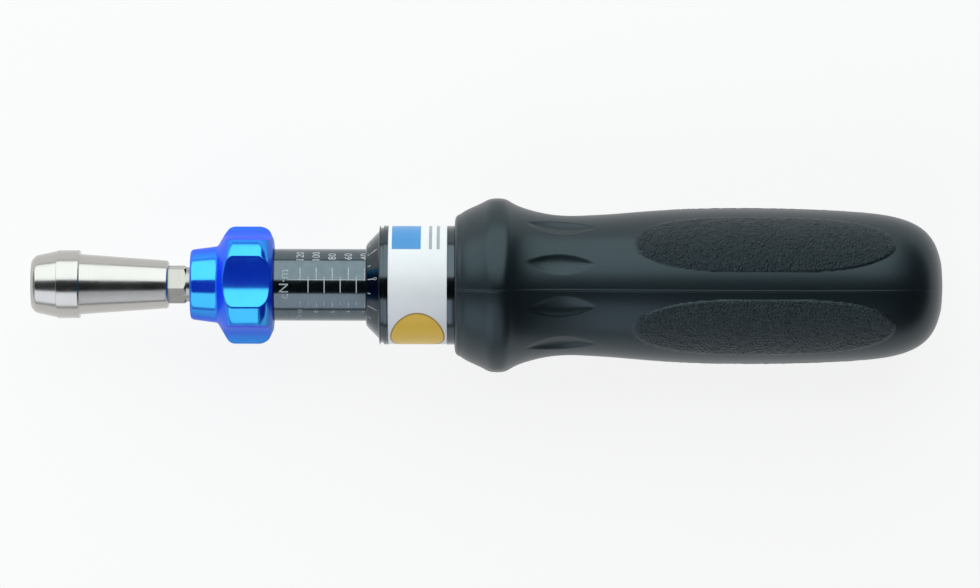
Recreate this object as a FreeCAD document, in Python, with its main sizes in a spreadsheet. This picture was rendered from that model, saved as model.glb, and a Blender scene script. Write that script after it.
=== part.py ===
"""Adjustable torque screwdriver, built as a parametric FreeCAD document.

The tool's axis is X.  The origin is on that axis at the mouth of the bit holder, +X runs towards the
end of the handle and +Z is up.  All lengths are in millimetres and all angles in degrees.

How it works: the handle drives the housing and the fixed cam.  Balls between the fixed cam and the
sliding cam turn the sliding cam, and with it the spindle and the bit holder, until the set torque lifts
the sliding cam over the balls.  The knob and its scale sleeve screw into the housing and squeeze the
main spring that holds the cams together.

Angles round the axis are measured from +Z towards +Y.
"""
import FreeCAD
import Part
import math
import os
import re
import Sketcher

SIZES = {
    # Bit holder, one turned piece with a hexagon socket at each end
    "holder_length": 25.2,
    "holder_radius": 6.25,
    "nose_radius": 4.4,
    "nose_edge_radius": 5.25,
    "nose_edge_length": 0.75,
    "flare_length": 4.8,
    "flare_radius": 6.13,
    "head_length": 8.75,
    "head_edge": 0.15,
    "neck_radius": 5.55,
    "tail_radius": 4.4,
    "tail_edge": 0.3,
    "hex_sides": 6,
    "hex_size": 6.35,
    "hex_clearance": 0.05,
    "hex_turn": 11.5,
    "mouth_radius": 3.75,
    "mouth_depth": 1.4,
    "socket_depth": 11.5,
    "magnet_radius": 2.9,
    "magnet_length": 3.0,
    "socket_wall": 1.7,
    "clip_wire_radius": 0.4,
    "clip_inner_radius": 3.3,
    "clip_gap_angle": 50,
    "clip_from_mouth": 2.2,
    "clip_from_tail": 3.0,
    # Spindle
    "hex_showing": 3.3,
    "hex_edge": 0.45,
    "neck_showing": 0.76,
    "spindle_neck_radius": 3.2,
    "journal_radius": 3.72,
    "rear_journal_radius": 2.8,
    "circlip_groove_depth": 0.5,
    "spindle_stub": 1.2,
    # Knob
    "hub_radius": 6.1,
    "hub_edge": 0.35,
    "hub_back_radius": 7.05,
    "hub_length": 4.94,
    "hub_recess_radius": 4.2,
    "hub_recess_depth": 5.74,
    "cone_length": 2.05,
    "cone_radius": 10.55,
    "rim_edge_length": 0.75,
    "rim_radius": 10.95,
    "rim_length": 5.3,
    "back_edge_length": 1.3,
    "back_edge_radius": 10.2,
    "back_cone_length": 0.9,
    "back_radius": 8.3,
    "lobe_count": 5,
    "lobe_turn": -3,
    "scallop_radius": 15.5,
    "valley_radius": 9.14,
    "set_screw_radius": 1.5,
    "set_screw_length": 3.0,
    "set_screw_turn": -147,
    "set_screw_socket": 1.5,
    # Scale sleeve
    "scale_radius": 6.62,
    "scale_showing": 17.0,
    "spigot_radius": 5.6,
    "sleeve_bore": 4.3,
    "thread_radius": 6.0,
    "bush_wall": 0.9,
    "bush_length": 6.0,
    "nut_radius": 5.2,
    "nut_length": 4.0,
    "nut_proud": 0.9,
    "travel_in": 12.0,
    "travel_out": 3.0,
    "end_gap": 0.3,
    # Housing
    "collar_radius": 7.45,
    "collar_edge": 0.2,
    "collar_cone_length": 2.45,
    "collar_cone_radius": 9.95,
    "ring_radius": 10.95,
    "front_ring_length": 1.65,
    "ring_groove_front": 0.25,
    "ring_groove_length": 0.55,
    "ring_groove_depth": 0.35,
    "ring_edge": 0.15,
    "rear_ring_length": 0.55,
    "guide_length": 17.0,
    "housing_thread_length": 8.5,
    "chamber_radius": 8.2,
    "tube_radius": 9.6,
    "seal_from_front": 1.6,
    "seal_wire_radius": 0.5,
    # Label band
    "label_length": 10.8,
    "label_step": 0.09,
    "label_thickness": 0.12,
    # Spring pack
    "pack_radius": 7.95,
    "pack_bore": 4.1,
    "thrust_washer_length": 1.0,
    "thrust_ball_radius": 0.8,
    "thrust_ball_count": 12,
    "thrust_ball_circle": 6.0,
    "seat_length": 2.0,
    "seat_spigot_length": 2.0,
    "seat_spigot_radius": 5.1,
    "rear_seat_length": 1.5,
    "spring_length": 24.0,
    "spring_radius": 6.4,
    "spring_wire_radius": 1.0,
    "spring_turns": 5,
    # Clutch
    "cam_length": 6.0,
    "cam_lift": 0.85,
    "ball_radius": 1.75,
    "ball_count": 6,
    "ball_circle": 6.2,
    "pocket_clearance": 0.05,
    "ball_standoff": 0.95,
    "cage_length": 1.1,
    "fixed_cam_length": 5.0,
    "dowel_radius": 0.9,
    "dowel_length": 4.0,
    "dowel_turn": 30,
    "dowel_circle": 6.2,
    "plug_length": 6.0,
    "rear_bush_wall": 1.0,
    "rear_washer_length": 0.8,
    "rear_washer_radius": 5.2,
    "circlip_length": 0.6,
    "circlip_radius": 4.3,
    "circlip_gap": 2.6,
    # Handle: distances are from its front lip, or from its end where the name says so
    "handle_length": 90.45,
    "lip_radius": 11.05,
    "shoulder_at": 1.8,
    "shoulder_radius": 13.05,
    "front_flank_at": 6.2,
    "front_flank_radius": 15.36,
    "crest_at": 8.7,
    "crest_radius": 16.38,
    "back_flank_at": 11.3,
    "back_flank_radius": 15.22,
    "throat_at": 14.3,
    "throat_radius": 14.0,
    "waist_at": 23.5,
    "waist_radius": 12.92,
    "rise_at": 36.0,
    "rise_radius": 13.7,
    "belly_at": 47.5,
    "belly_radius": 14.26,
    "belly_from_end": 29.95,
    "taper_from_end": 15.45,
    "taper_radius": 13.65,
    "heel_from_end": 8.45,
    "heel_radius": 12.7,
    "edge_from_end": 2.95,
    "edge_radius": 10.0,
    "dome_from_end": 1.3,
    "dome_radius": 7.7,
    "cap_radius": 4.8,
    "cap_height": 0.33,
    "arc_closeness": 0.05,
    "ridge_count": 5,
    "facet_radius": 19.0,
    "facet_middle_radius": 15.85,
    "flute_at": 21.4,
    "flute_angle": 17.5,
    "flute_half_length": 7.6,
    "flute_half_width": 2.3,
    "flute_half_depth": 1.6,
    "flute_depth": 0.8,
    "core_radius": 8.0,
    "core_end_wall": 9.0,
    # Fits, all radial or face to face
    "running_fit": 0.04,
    "thread_fit": 0.06,
    "slide_fit": 0.08,
    "close_fit": 0.02,
}

# Places along the axis, each worked out from the sizes above
PLACES = {
    "hex_corner_radius": "hex_size / 2 / cos(180 / hex_sides)",
    "clip_circle": "clip_inner_radius + clip_wire_radius",
    "tail_socket_end": "socket_depth + magnet_length + socket_wall",
    "hex_end": "holder_length + hex_showing",
    "hub_front": "hex_end + neck_showing",
    "hub_back": "hub_front + hub_length",
    "cone_back": "hub_back + cone_length",
    "rim_front": "cone_back + rim_edge_length",
    "rim_back": "rim_front + rim_length",
    "back_edge": "rim_back + back_edge_length",
    "knob_back": "back_edge + back_cone_length",
    "spigot_front": "hub_front + hub_recess_depth",
    "bush_back": "spigot_front + end_gap + bush_length",
    "collar_front": "knob_back + scale_showing",
    "cone_end": "collar_front + collar_cone_length",
    "label_front": "cone_end + front_ring_length",
    "label_back": "label_front + label_length",
    "handle_front": "label_back + rear_ring_length",
    "handle_end": "handle_front + handle_length",
    "label_radius": "ring_radius - label_step",
    "label_seat_radius": "label_radius - label_thickness",
    "thread_front": "collar_front + guide_length",
    "thread_back": "thread_front + housing_thread_length",
    "sleeve_shoulder": "thread_front - travel_in - end_gap",
    "pack_front": "thread_back + travel_out + 2 * end_gap",
    "sleeve_back": "pack_front - nut_proud",
    "nut_front": "pack_front - running_fit - nut_length",
    "thrust_balls_at": "pack_front + thrust_washer_length + thrust_ball_radius + close_fit",
    "seat_front": "thrust_balls_at + thrust_ball_radius + close_fit",
    "spring_front": "seat_front + seat_length",
    "spring_back": "spring_front + spring_length",
    "cam_front": "spring_back + rear_seat_length",
    "cam_face": "cam_front + cam_length",
    "balls_at": "cam_face + ball_standoff",
    "fixed_cam_front": "balls_at + ball_standoff",
    "fixed_cam_back": "fixed_cam_front + fixed_cam_length",
    "plug_back": "fixed_cam_back + plug_length",
    "drive_hex_front": "spring_back - cam_lift - end_gap",
    "drive_hex_back": "fixed_cam_back - running_fit",
    "rear_washer_back": "plug_back + running_fit + rear_washer_length",
    "circlip_back": "rear_washer_back + running_fit + circlip_length",
    "spindle_end": "circlip_back + spindle_stub",
    "core_end": "handle_end - core_end_wall",
    "facet_offset": "facet_radius - facet_middle_radius",
}

doc = FreeCAD.newDocument("TorqueScrewdriver")
sheet = doc.addObject("Spreadsheet::Sheet", "Sizes")
for row, (alias, number) in enumerate(SIZES.items(), start=1):
    sheet.set(f"A{row}", alias)
    sheet.set(f"B{row}", str(number))
    sheet.setAlias(f"B{row}", alias)
doc.recompute()


def formula(text):
    """The text with every size written as a cell of the sheet and every place worked out."""
    def swap(match):
        word = match.group(0)
        if word in SIZES:
            return f"Sizes.{word}"
        if word in PLACES:
            return f"({formula(PLACES[word])})"
        return word
    return re.sub(r"[a-z_]+", swap, text)


def value(text):
    """The number that a formula gives."""
    return float(sheet.evalExpression(formula(text)))


def bind(item, **formulas):
    """Tie properties of an object to the sheet."""
    for name, text in formulas.items():
        item.setExpression(name, formula(text))
    return item


def place(item, x="0", turn=0.0, out="0", stand_on_axis=True, roll=0.0):
    """Put an object at x on the axis, moved out from it, and turned round it by an angle.

    An object that is made along its own Z is laid along X first.  Roll turns it about its own centre.
    """
    round_axis = FreeCAD.Rotation(FreeCAD.Vector(1, 0, 0), -turn - roll)
    along = FreeCAD.Rotation(FreeCAD.Vector(0, 1, 0), 90)
    rotation = round_axis.multiply(along) if stand_on_axis else round_axis
    item.Placement = FreeCAD.Placement(FreeCAD.Vector(0, 0, 0), rotation)
    item.setExpression("Placement.Base.x", formula(x))
    if out != "0":
        item.setExpression("Placement.Base.y", f"({formula(out)}) * {math.sin(math.radians(turn))}")
        item.setExpression("Placement.Base.z", f"({formula(out)}) * {math.cos(math.radians(turn))}")
    return item


def body_plane(body, role):
    """One of a body's own origin planes."""
    return next(plane for plane in body.Origin.OriginFeatures if plane.Role == role)


def attach(sketch, body, role):
    """Lay a sketch on one of its body's origin planes."""
    sketch.AttachmentSupport = [(body_plane(body, role), "")]
    sketch.MapMode = "FlatFace"


def pin_point(sketch, line, axis_name, text, index):
    """Fix one coordinate of a line's start point to a formula."""
    if text == "0":
        axis = -2 if axis_name == "DistanceX" else -1
        sketch.addConstraint(Sketcher.Constraint("PointOnObject", line, 1, axis))
        return
    name = f"{axis_name[-1].lower()}{index}"
    at = sketch.addConstraint(Sketcher.Constraint(axis_name, -1, 1, line, 1, value(text)))
    sketch.renameConstraint(at, name)
    sketch.setExpression(f"Constraints.{name}", formula(text))


def turned(label, outline):
    """A body turned about the X axis from a closed outline of (distance along X, radius) corners."""
    body = doc.addObject("PartDesign::Body", label)
    sketch = body.newObject("Sketcher::SketchObject", f"{label}_outline")
    attach(sketch, body, "XZ_Plane")
    corners = [FreeCAD.Vector(value(x), value(radius), 0) for x, radius in outline]
    lines = []
    for start, stop in zip(corners, corners[1:] + corners[:1]):
        lines.append(sketch.addGeometry(Part.LineSegment(start, stop), False))
    for line, following in zip(lines, lines[1:] + lines[:1]):
        sketch.addConstraint(Sketcher.Constraint("Coincident", line, 2, following, 1))
    for line, (x, radius) in zip(lines, outline):
        pin_point(sketch, line, "DistanceX", x, line)
        pin_point(sketch, line, "DistanceY", radius, line)
    revolution = body.newObject("PartDesign::Revolution", f"{label}_turning")
    revolution.Profile = sketch
    revolution.ReferenceAxis = (sketch, ["H_Axis"])
    revolution.Angle = 360
    body.Tip = revolution
    return body


def ring(label, front, back, inner, outer):
    """A plain ring or tube."""
    return turned(label, [(front, inner), (front, outer), (back, outer), (back, inner)])


def hex_bar(name, front, back, clearance="0"):
    """A hexagon bar of the drive size, with a corner near the top."""
    bar = doc.addObject("Part::Prism", name)
    bar.Polygon = SIZES["hex_sides"]
    bind(bar, Circumradius=f"hex_corner_radius + {clearance} / cos(180 / hex_sides)",
         Height=f"({back}) - ({front})")
    return place(bar, front, turn=-SIZES["hex_turn"])


def rod(name, front, back, radius, turn=0.0, out="0"):
    """A round bar parallel to the axis."""
    bar = doc.addObject("Part::Cylinder", name)
    bind(bar, Radius=radius, Height=f"({back}) - ({front})")
    return place(bar, front, turn, out)


def spheres(name, count, radius, circle, x):
    """Balls, or ball-shaped tools, spaced evenly on a circle round the axis."""
    balls = []
    for number in range(count):
        ball = bind(doc.addObject("Part::Sphere", f"{name}_{number}"), Radius=radius)
        balls.append(place(ball, x, 360.0 * number / count, circle))
    return balls


def cut(label, base, tools):
    """The base with the tools taken away."""
    tool = tools[0]
    if len(tools) > 1:
        tool = doc.addObject("Part::MultiFuse", f"{label}_tools")
        tool.Shapes = tools
    result = doc.addObject("Part::Cut", label)
    result.Base = base
    result.Tool = tool
    return result


def joined(kind, label, items):
    """Several objects as one: kind is MultiFuse, MultiCommon or Compound."""
    result = doc.addObject(f"Part::{kind}", label)
    if kind == "Compound":
        result.Links = items
    else:
        result.Shapes = items
    return result


def make_bit_holder():
    """Stainless bit holder: flared nose, sharp step, tapered neck; sockets bored from both ends."""
    blank = turned("holder_blank", [
        ("0", "mouth_radius"),
        ("0", "nose_radius"),
        ("nose_edge_length", "nose_edge_radius"),
        ("flare_length", "flare_radius"),
        ("flare_length", "holder_radius"),
        ("head_length", "holder_radius"),
        ("head_length + head_edge", "holder_radius - head_edge"),
        ("head_length + head_edge", "neck_radius"),
        ("holder_length - tail_edge", "tail_radius"),
        ("holder_length", "tail_radius - tail_edge"),
        ("holder_length", "0"),
        ("mouth_depth", "0"),
        ("mouth_depth", "mouth_radius"),
    ])
    tools = [
        hex_bar("bit_socket", "mouth_depth - end_gap", "socket_depth", "hex_clearance"),
        rod("magnet_bore", "socket_depth - end_gap", "socket_depth + magnet_length",
            "magnet_radius + close_fit"),
        hex_bar("spindle_socket", "tail_socket_end", "holder_length + end_gap", "hex_clearance"),
    ]
    for name, at in (("mouth_groove", "clip_from_mouth"), ("tail_groove", "holder_length - clip_from_tail")):
        tools.append(rod(
            name,
            f"{at} - clip_wire_radius - close_fit",
            f"{at} + clip_wire_radius + close_fit",
            "clip_circle + clip_wire_radius + slide_fit"))
    return cut("bit_holder", blank, tools)


def make_clip(label, x):
    """Round-wire spring clip, open at one side, in a groove of the bit holder."""
    clip = doc.addObject("Part::Torus", label)
    bind(clip, Radius1="clip_circle", Radius2="clip_wire_radius", Angle3="360 - clip_gap_angle")
    return place(clip, x)


def make_magnet():
    """Disc magnet at the bottom of the bit socket."""
    return rod("bit_magnet", "socket_depth + close_fit", "socket_depth + magnet_length - close_fit",
               "magnet_radius")


def make_spindle():
    """Spindle: hexagon in the bit holder, long journal, hexagon in the sliding cam, rear journal."""
    shaft = turned("spindle_shaft", [
        ("hex_end - hex_edge", "0"),
        ("hex_end - hex_edge", "spindle_neck_radius"),
        ("hub_front", "spindle_neck_radius"),
        ("hub_front", "journal_radius - hex_edge"),
        ("hub_front + hex_edge", "journal_radius"),
        ("drive_hex_front", "journal_radius"),
        ("drive_hex_front", "rear_journal_radius"),
        ("rear_washer_back + running_fit", "rear_journal_radius"),
        ("rear_washer_back + running_fit", "rear_journal_radius - circlip_groove_depth"),
        ("circlip_back + running_fit", "rear_journal_radius - circlip_groove_depth"),
        ("circlip_back + running_fit", "rear_journal_radius"),
        ("spindle_end - hex_edge", "rear_journal_radius"),
        ("spindle_end", "rear_journal_radius - hex_edge"),
        ("spindle_end", "0"),
    ])
    front_end = "tail_socket_end + end_gap"
    bar = hex_bar("front_hexagon", front_end, "hex_end")
    barrel = turned("front_hexagon_ends", [
        (front_end, "0"),
        (front_end, "(hex_size - hex_edge) / 2"),
        (f"{front_end} + hex_edge", "hex_corner_radius"),
        ("holder_length - clip_from_tail - 2 * clip_wire_radius", "hex_corner_radius"),
        ("holder_length - clip_from_tail", "hex_size / 2 - clip_wire_radius / 2"),
        ("holder_length - clip_from_tail + 2 * clip_wire_radius", "hex_corner_radius"),
        ("hex_end - hex_edge", "hex_corner_radius"),
        ("hex_end", "hex_size / 2"),
        ("hex_end", "0"),
    ])
    front = joined("MultiCommon", "front_drive", [bar, barrel])
    rear = hex_bar("rear_drive", "drive_hex_front", "drive_hex_back")
    return joined("MultiFuse", "drive_spindle", [shaft, front, rear])


def make_knob():
    """Anodised knob: tapered hub, coned faces and five lobes between hollow scallops."""
    body = turned("knob_blank", [
        ("hub_front", "hub_recess_radius"),
        ("hub_front", "hub_radius"),
        ("hub_front + hub_edge", "hub_radius + hub_edge"),
        ("hub_back", "hub_back_radius"),
        ("cone_back", "cone_radius"),
        ("rim_front", "rim_radius"),
        ("rim_back", "rim_radius"),
        ("back_edge", "back_edge_radius"),
        ("knob_back", "back_radius"),
        ("knob_back", "spigot_radius + close_fit"),
        ("spigot_front", "spigot_radius + close_fit"),
        ("spigot_front", "hub_recess_radius"),
    ])
    sketch = body.newObject("Sketcher::SketchObject", "scallop_outline")
    attach(sketch, body, "YZ_Plane")
    centre = value("valley_radius + scallop_radius")
    circle = Part.Circle(FreeCAD.Vector(0, centre, 0), FreeCAD.Vector(0, 0, 1), value("scallop_radius"))
    arc = sketch.addGeometry(circle, False)
    sketch.addConstraint(Sketcher.Constraint("PointOnObject", arc, 3, -2))
    out = sketch.addConstraint(Sketcher.Constraint("DistanceY", -1, 1, arc, 3, centre))
    sketch.setExpression(f"Constraints[{out}]", formula("valley_radius + scallop_radius"))
    size = sketch.addConstraint(Sketcher.Constraint("Radius", arc, value("scallop_radius")))
    sketch.setExpression(f"Constraints[{size}]", formula("scallop_radius"))
    scallop = body.newObject("PartDesign::Pocket", "scallop")
    scallop.Profile = sketch
    scallop.Type = "Length"
    scallop.Reversed = True
    bind(scallop, Length="knob_back + end_gap")
    pattern = body.newObject("PartDesign::PolarPattern", "scallops")
    pattern.Originals = [scallop]
    pattern.Axis = (next(axis for axis in body.Origin.OriginFeatures if axis.Role == "X_Axis"), [""])
    pattern.Angle = 360
    bind(pattern, Occurrences="lobe_count")
    body.Tip = pattern
    place(body, turn=-SIZES["lobe_turn"], stand_on_axis=False)
    return cut("adjusting_knob", body, [set_screw_rod("set_screw_hole", "0", "rim_radius", "set_screw_radius")])


def set_screw_rod(name, inner, outer, radius):
    """A round bar that stands out from the axis where the knob's set screw sits."""
    bar = doc.addObject("Part::Cylinder", name)
    bind(bar, Radius=radius, Height=f"({outer}) - ({inner})")
    bar.Placement = FreeCAD.Placement(
        FreeCAD.Vector(0, 0, 0), FreeCAD.Rotation(FreeCAD.Vector(1, 0, 0), SIZES["set_screw_turn"]))
    turn = math.radians(SIZES["set_screw_turn"])
    bar.setExpression("Placement.Base.x", formula("(rim_front + rim_back) / 2"))
    bar.setExpression("Placement.Base.y", f"({formula(inner)}) * {-math.sin(turn)}")
    bar.setExpression("Placement.Base.z", f"({formula(inner)}) * {math.cos(turn)}")
    return bar


def make_set_screw():
    """Headless screw that locks the knob on the sleeve's spigot, with a hexagon key socket."""
    inner = "spigot_radius + close_fit"
    outer = f"{inner} + set_screw_length"
    stud = set_screw_rod("set_screw_stud", inner, outer, "set_screw_radius - close_fit")
    socket = set_screw_rod("set_screw_key", f"{outer} - set_screw_socket", f"{outer} + end_gap",
                           "set_screw_radius / 2")
    return cut("knob_set_screw", stud, [socket])


def make_scale_sleeve():
    """Black sleeve: spigot in the knob, engraved scale part, thread that screws into the housing."""
    return turned("scale_sleeve", [
        ("spigot_front + end_gap", "journal_radius + running_fit + bush_wall + close_fit"),
        ("spigot_front + end_gap", "spigot_radius"),
        ("knob_back + close_fit", "spigot_radius"),
        ("knob_back + close_fit", "scale_radius"),
        ("sleeve_shoulder", "scale_radius"),
        ("sleeve_shoulder", "thread_radius"),
        ("sleeve_back", "thread_radius"),
        ("sleeve_back", "nut_radius + thread_fit"),
        ("nut_front - end_gap", "nut_radius + thread_fit"),
        ("nut_front - end_gap", "sleeve_bore"),
        ("bush_back", "sleeve_bore"),
        ("bush_back", "journal_radius + running_fit + bush_wall + close_fit"),
    ])


def make_front_bush():
    """Bronze bush in the front of the sleeve that carries the spindle."""
    return ring("front_bush", "spigot_front + end_gap", "bush_back - close_fit",
                "journal_radius + running_fit", "journal_radius + running_fit + bush_wall")


def make_calibration_nut():
    """Threaded ring in the back of the sleeve that sets the scale's zero and pushes the spring pack."""
    return ring("calibration_nut", "nut_front", "pack_front - running_fit", "pack_bore", "nut_radius")


def make_thrust_parts():
    """Washer, balls and front spring seat: they let the spring turn with the spindle."""
    ring("thrust_washer", "pack_front", "pack_front + thrust_washer_length", "pack_bore", "pack_radius")
    balls = spheres("thrust_ball", SIZES["thrust_ball_count"], "thrust_ball_radius",
                    "thrust_ball_circle", "thrust_balls_at")
    joined("Compound", "thrust_balls", balls)
    turned("front_spring_seat", [
        ("seat_front", "pack_bore"),
        ("seat_front", "pack_radius"),
        ("spring_front", "pack_radius"),
        ("spring_front", "seat_spigot_radius"),
        ("spring_front + seat_spigot_length", "seat_spigot_radius"),
        ("spring_front + seat_spigot_length", "pack_bore"),
    ])


def make_main_spring():
    """Compression spring with both ends ground flat, standing between the two spring seats."""
    length = value("spring_length - 2 * close_fit")
    wire = value("spring_wire_radius")
    pitch = length / SIZES["spring_turns"]
    helix = Part.makeHelix(pitch, length, value("spring_radius"))
    start = FreeCAD.Vector(value("spring_radius"), 0, 0)
    lean = FreeCAD.Vector(0, math.tau * start.x, pitch)
    section = Part.Wire([Part.makeCircle(wire, start, lean)])
    coil = Part.Wire(helix.Edges).makePipeShell([section], True, True)
    grinding = Part.makeCylinder(value("pack_radius"), length - 2 * wire, FreeCAD.Vector(0, 0, wire))
    spring = doc.addObject("Part::Feature", "main_spring")
    spring.Shape = coil.common(grinding)
    return spring


def make_rear_seat():
    """Spring seat that rests on the sliding cam and turns with it."""
    return turned("rear_spring_seat", [
        ("spring_back - seat_spigot_length", "pack_bore"),
        ("spring_back - seat_spigot_length", "seat_spigot_radius"),
        ("spring_back", "seat_spigot_radius"),
        ("spring_back", "pack_radius"),
        ("cam_front - close_fit", "pack_radius"),
        ("cam_front - close_fit", "pack_bore"),
    ])


def make_sliding_cam():
    """Cam ring that slides on the spindle's hexagon, with two ball pockets for each ball."""
    blank = turned("sliding_cam_blank", [
        ("cam_front", "0"),
        ("cam_front", "pack_radius"),
        ("cam_face", "pack_radius"),
        ("cam_face", "0"),
    ])
    bore = hex_bar("sliding_cam_bore", "cam_front - end_gap", "cam_face + end_gap", "hex_clearance")
    pockets = spheres("sliding_pocket", 2 * SIZES["ball_count"], "ball_radius + pocket_clearance",
                      "ball_circle", "balls_at")
    return cut("sliding_cam", blank, [bore] + pockets)


def make_fixed_cam():
    """Cam ring pinned to the plug in the back of the housing, with one pocket for each ball."""
    blank = ring("fixed_cam_blank", "fixed_cam_front", "fixed_cam_back", "pack_bore",
                 "chamber_radius - close_fit")
    tools = spheres("fixed_pocket", SIZES["ball_count"], "ball_radius + close_fit", "ball_circle",
                    "balls_at")
    return cut("fixed_cam", blank, tools + dowels("cam_dowel_hole", "dowel_radius + close_fit"))


def dowels(name, radius):
    """Two dowels, or their holes, half in the fixed cam and half in the plug."""
    front = "fixed_cam_back - dowel_length / 2"
    back = "fixed_cam_back + dowel_length / 2"
    first = SIZES["dowel_turn"]
    return [rod(f"{name}_{turn}", front, back, radius, turn, "dowel_circle") for turn in (first, first + 180)]


def make_balls_and_cage():
    """Clutch balls and the flat star-shaped cage whose arms keep them apart."""
    balls = spheres("clutch_ball", SIZES["ball_count"], "ball_radius", "ball_circle", "balls_at")
    joined("Compound", "clutch_balls", balls)
    blank = ring("cage_blank", "balls_at - cage_length / 2", "balls_at + cage_length / 2",
                 "journal_radius + end_gap", "pack_radius")
    windows = spheres("cage_window", SIZES["ball_count"], "ball_radius + close_fit", "ball_circle",
                      "balls_at")
    return cut("ball_cage", blank, windows)


def make_plug():
    """Plug screwed into the back of the housing: it holds the fixed cam and the rear bush."""
    blank = ring("plug_blank", "fixed_cam_back + close_fit", "plug_back",
                 "rear_journal_radius + running_fit + rear_bush_wall + close_fit",
                 "chamber_radius - close_fit")
    return cut("clutch_plug", blank, dowels("plug_dowel_hole", "dowel_radius + close_fit"))


def make_spindle_retainer():
    """Rear bush, washer and circlip that keep the spindle in the plug."""
    ring("rear_bush", "fixed_cam_back", "plug_back", "rear_journal_radius + running_fit",
         "rear_journal_radius + running_fit + rear_bush_wall")
    ring("spindle_washer", "plug_back + running_fit", "rear_washer_back",
         "rear_journal_radius + running_fit", "rear_washer_radius")
    blank = ring("circlip_blank", "rear_washer_back + running_fit", "circlip_back",
                 "rear_journal_radius - circlip_groove_depth + running_fit", "circlip_radius")
    gap = doc.addObject("Part::Box", "circlip_opening")
    bind(gap, Length="2 * circlip_length", Width="circlip_gap", Height="circlip_radius")
    gap.setExpression("Placement.Base.x", formula("rear_washer_back - circlip_length / 2"))
    gap.setExpression("Placement.Base.y", formula("-circlip_gap / 2"))
    return cut("spindle_circlip", blank, [gap])


def make_housing():
    """Black housing: coned collar with a grooved ring, label seat, rear ring, tube for the clutch."""
    seal_front = "collar_front + seal_from_front - seal_wire_radius - close_fit"
    seal_back = "collar_front + seal_from_front + seal_wire_radius + close_fit"
    seal_groove = "scale_radius + slide_fit + 2 * seal_wire_radius + close_fit"
    return turned("housing", [
        ("collar_front", "scale_radius + slide_fit"),
        ("collar_front", "collar_radius - collar_edge"),
        ("collar_front + collar_edge", "collar_radius + collar_edge"),
        ("cone_end", "collar_cone_radius"),
        ("cone_end", "ring_radius - ring_edge"),
        ("cone_end + ring_edge", "ring_radius"),
        ("cone_end + ring_groove_front", "ring_radius"),
        ("cone_end + ring_groove_front", "ring_radius - ring_groove_depth"),
        ("cone_end + ring_groove_front + ring_groove_length", "ring_radius - ring_groove_depth"),
        ("cone_end + ring_groove_front + ring_groove_length", "ring_radius"),
        ("label_front", "ring_radius"),
        ("label_front", "label_seat_radius"),
        ("label_back", "label_seat_radius"),
        ("label_back", "ring_radius"),
        ("handle_front - close_fit", "ring_radius"),
        ("handle_front - close_fit", "tube_radius"),
        ("plug_back", "tube_radius"),
        ("plug_back", "chamber_radius"),
        ("thread_back", "chamber_radius"),
        ("thread_back", "thread_radius + thread_fit"),
        ("thread_front", "thread_radius + thread_fit"),
        ("thread_front", "scale_radius + slide_fit"),
        (seal_back, "scale_radius + slide_fit"),
        (seal_back, seal_groove),
        (seal_front, seal_groove),
        (seal_front, "scale_radius + slide_fit"),
    ])


def make_seal():
    """Rubber ring in the collar that wipes the scale sleeve."""
    seal = doc.addObject("Part::Torus", "sleeve_seal")
    bind(seal, Radius1="scale_radius + slide_fit + seal_wire_radius", Radius2="seal_wire_radius")
    return place(seal, "collar_front + seal_from_front")


def make_label_band():
    """Thin printed band wrapped round the housing between its two rings."""
    return ring("label_band", "label_front + close_fit", "label_back - close_fit",
                "label_seat_radius + close_fit", "label_radius")


def handle_outline():
    """Half section of the handle: tangent arcs from the lip over crest, waist and belly to the cap."""
    stations = [
        ("0", "lip_radius"),
        ("shoulder_at", "shoulder_radius"),
        ("front_flank_at", "front_flank_radius"),
        ("crest_at", "crest_radius"),
        ("back_flank_at", "back_flank_radius"),
        ("throat_at", "throat_radius"),
        ("waist_at", "waist_radius"),
        ("rise_at", "rise_radius"),
        ("belly_at", "belly_radius"),
        ("handle_length - belly_from_end", "belly_radius"),
        ("handle_length - taper_from_end", "taper_radius"),
        ("handle_length - heel_from_end", "heel_radius"),
        ("handle_length - edge_from_end", "edge_radius"),
        ("handle_length - dome_from_end", "dome_radius"),
        ("handle_length - cap_height", "cap_radius"),
    ]
    points = [FreeCAD.Vector(value(f"handle_front + {at}"), 0, value(radius)) for at, radius in stations]
    curve = Part.BSplineCurve()
    curve.interpolate(points)
    arcs = [arc.toShape() for arc in curve.toBiArcs(value("arc_closeness"))]
    cap_start = arcs[-1].Vertexes[-1].Point
    end = FreeCAD.Vector(value("handle_end"), 0, 0)
    height = end.x - cap_start.x
    ball = (cap_start.z ** 2 + height ** 2) / (2 * height)
    half = math.asin(cap_start.z / ball) / 2
    middle = FreeCAD.Vector(end.x - ball + ball * math.cos(half), 0, ball * math.sin(half))
    lip = arcs[0].Vertexes[0].Point
    axis_start = FreeCAD.Vector(lip.x, 0, 0)
    edges = arcs + [
        Part.Arc(cap_start, middle, end).toShape(),
        Part.makeLine(end, axis_start),
        Part.makeLine(axis_start, lip),
    ]
    outline = doc.addObject("Part::Feature", "handle_outline")
    outline.Shape = Part.Face(Part.Wire(edges))
    return outline


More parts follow.
